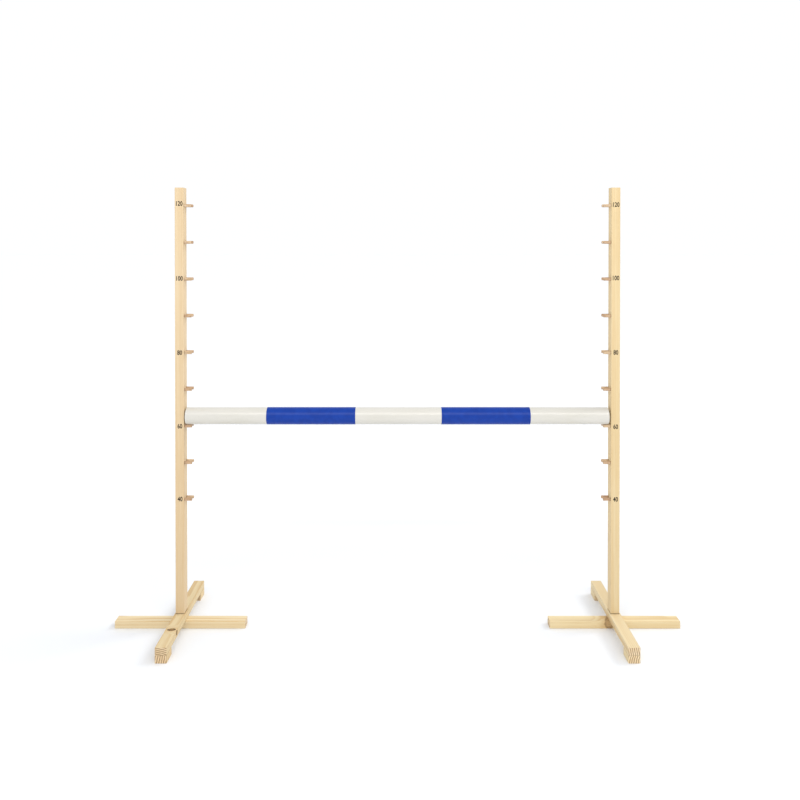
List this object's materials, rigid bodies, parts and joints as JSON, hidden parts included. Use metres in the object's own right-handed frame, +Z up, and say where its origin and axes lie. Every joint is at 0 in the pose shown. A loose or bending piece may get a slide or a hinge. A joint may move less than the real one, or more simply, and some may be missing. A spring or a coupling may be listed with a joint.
{
  "type": "practice jump",
  "caption": "Free-standing practice jump: timber stands with rows of dowel pegs and a cross-shaped foot, and a loose round banded pole laid across a pair of peg cradles.",
  "frame": {"origin": "on the floor, midway between the two stands and in the middle of the posts' depth", "axes": "+X along the pole towards the right stand, +Y to the rear, +Z up"},
  "size_m": [1.539, 0.355, 1.2],
  "materials": {
    "pine": "planed, unvarnished",
    "beech": "turned, unvarnished",
    "white_paint": "satin gloss enamel on turned softwood",
    "blue_film": "satin adhesive film",
    "screw_steel": "zinc-plated, dull"
  },
  "bodies": {
    "left_stand": {"left_post": "pine", "left_lower_rail": "pine", "left_upper_rail": "pine", "left_front_foot": "pine", "left_rear_foot": "pine", "left_post_screws": "screw_steel", "left_foot_screws": "screw_steel", "left_front_peg_040": "beech", "left_front_peg_050": "beech", "left_front_peg_060": "beech", "left_front_peg_070": "beech", "left_front_peg_080": "beech", "left_front_peg_090": "beech", "left_front_peg_100": "beech", "left_front_peg_110": "beech", "left_front_peg_120": "beech", "left_rear_peg_040": "beech", "left_rear_peg_050": "beech", "left_rear_peg_060": "beech", "left_rear_peg_070": "beech", "left_rear_peg_080": "beech", "left_rear_peg_090": "beech", "left_rear_peg_100": "beech", "left_rear_peg_110": "beech", "left_rear_peg_120": "beech"},
    "right_stand": {"right_post": "pine", "right_lower_rail": "pine", "right_upper_rail": "pine", "right_front_foot": "pine", "right_rear_foot": "pine", "right_post_screws": "screw_steel", "right_foot_screws": "screw_steel", "right_front_peg_040": "beech", "right_front_peg_050": "beech", "right_front_peg_060": "beech", "right_front_peg_070": "beech", "right_front_peg_080": "beech", "right_front_peg_090": "beech", "right_front_peg_100": "beech", "right_front_peg_110": "beech", "right_front_peg_120": "beech", "right_rear_peg_040": "beech", "right_rear_peg_050": "beech", "right_rear_peg_060": "beech", "right_rear_peg_070": "beech", "right_rear_peg_080": "beech", "right_rear_peg_090": "beech", "right_rear_peg_100": "beech", "right_rear_peg_110": "beech", "right_rear_peg_120": "beech"},
    "pole": {"pole": "white_paint", "left_band": "blue_film", "right_band": "blue_film"}
  },
  "joints": [
    {"name": "pole_lift_out", "type": "slide", "parent": "left_stand", "child": "pole", "axis": [0, -0.7071, 0.7071], "range_m": [0, 0.3]},
    {"name": "stand_spacing", "type": "slide", "parent": "left_stand", "child": "right_stand", "axis": [1, 0, 0], "range_m": [0, 0.2]}
  ]
}
